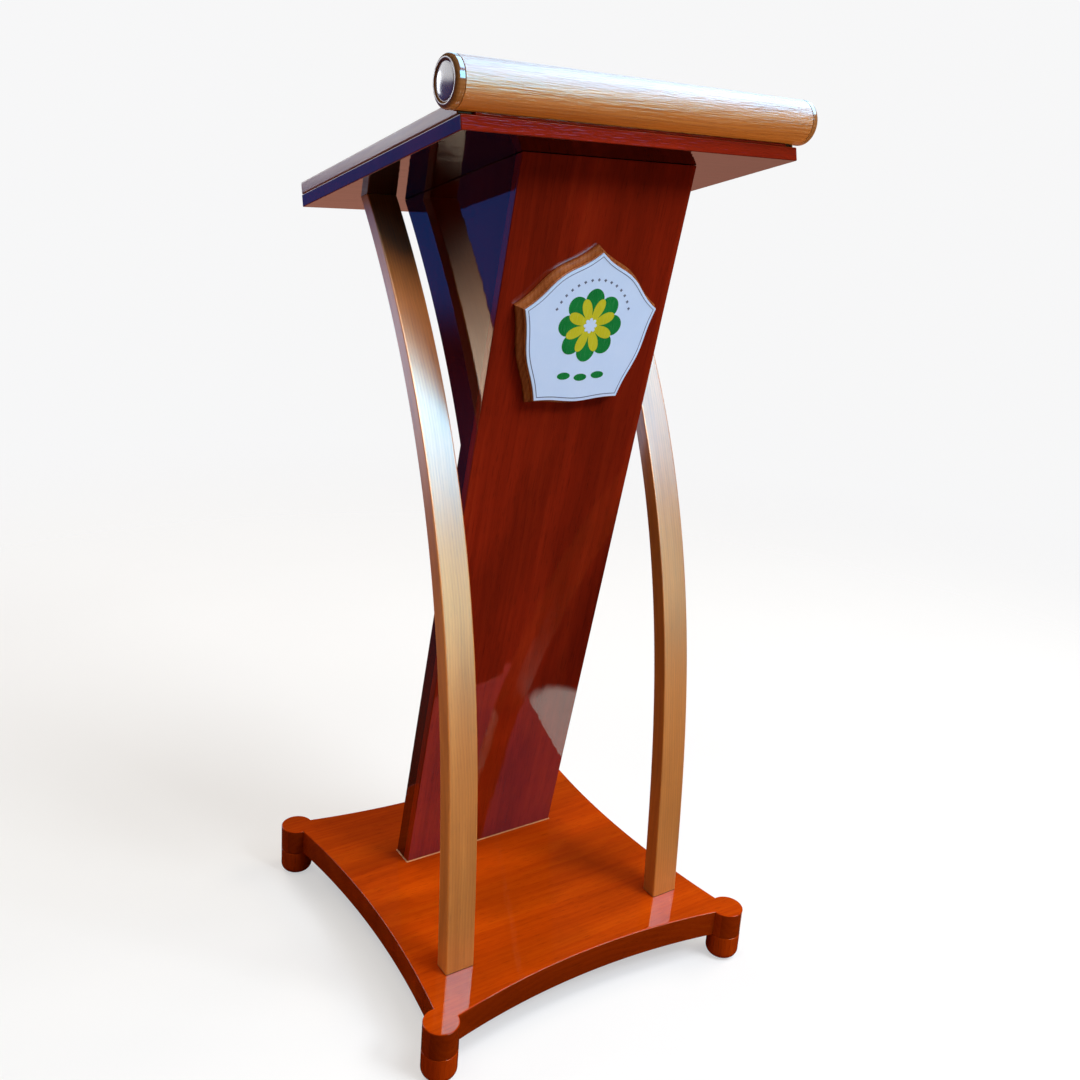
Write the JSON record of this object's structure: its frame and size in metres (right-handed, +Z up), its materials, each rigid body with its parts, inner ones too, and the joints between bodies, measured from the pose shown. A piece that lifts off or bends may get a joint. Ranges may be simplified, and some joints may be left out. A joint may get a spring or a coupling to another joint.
{
  "type": "lectern",
  "caption": "Wooden lectern with a leaning column, bowed side legs, a sloping rimmed desk, a round front rail and a shield plaque, on a hollow-sided base with turned feet",
  "frame": {"origin": "on the floor under the middle of the base, midway between the four feet", "axes": "+Z up, +X across the lectern to the right as the audience sees it, -Y towards the audience (the plaque side), +Y towards the speaker"},
  "size_m": [0.521, 0.525, 1.2],
  "materials": {
    "base_mahogany": "orange-red mahogany under high-gloss lacquer",
    "column_mahogany": "dark red mahogany under high-gloss lacquer",
    "desk_mahogany": "very dark mahogany under high-gloss lacquer",
    "honey_wood": "honey-coloured wood under gloss lacquer",
    "plaque_wood": "copper-brown wood under satin lacquer",
    "plaque_white": "glossy bluish-white plate with a thin border line",
    "raw_pine": "unfinished softwood",
    "beech_dowel": "unfinished beech",
    "zinc_screw": "zinc-plated steel"
  },
  "bodies": {
    "root": {"base_board": "base_mahogany", "cleat_screw_front_left": "zinc_screw", "cleat_screw_front_right": "zinc_screw", "cleat_screw_rear_left": "zinc_screw", "cleat_screw_rear_right": "zinc_screw", "column_back_lower": "column_mahogany", "column_back_upper": "column_mahogany", "column_cheek_left": "column_mahogany", "column_cheek_right": "column_mahogany", "column_foot_block": "raw_pine", "column_front_panel": "column_mahogany", "column_screw_left": "zinc_screw", "column_screw_right": "zinc_screw", "desk_board": "desk_mahogany", "desk_cleat_front": "raw_pine", "desk_cleat_rear": "raw_pine", "desk_rim_left": "honey_wood", "desk_rim_rear": "honey_wood", "desk_rim_right": "honey_wood", "foot_back_left": "base_mahogany", "foot_back_right": "base_mahogany", "foot_dowel_back_left": "beech_dowel", "foot_dowel_back_right": "beech_dowel", "foot_dowel_front_left": "beech_dowel", "foot_dowel_front_right": "beech_dowel", "foot_front_left": "base_mahogany", "foot_front_right": "base_mahogany", "leg_dowel_left": "beech_dowel", "leg_dowel_right": "beech_dowel", "leg_left": "honey_wood", "leg_right": "honey_wood", "leg_screw_left": "zinc_screw", "leg_screw_right": "zinc_screw", "plaque_backing": "plaque_wood", "plaque_face": "plaque_white", "plaque_screw_lower": "zinc_screw", "plaque_screw_upper": "zinc_screw", "roll_bed": "desk_mahogany", "roll_body": "honey_wood", "roll_cap_left": "honey_wood", "roll_cap_right": "honey_wood", "roll_dowel_left": "beech_dowel", "roll_dowel_middle": "beech_dowel", "roll_dowel_right": "beech_dowel"}
  },
  "joints": []
}
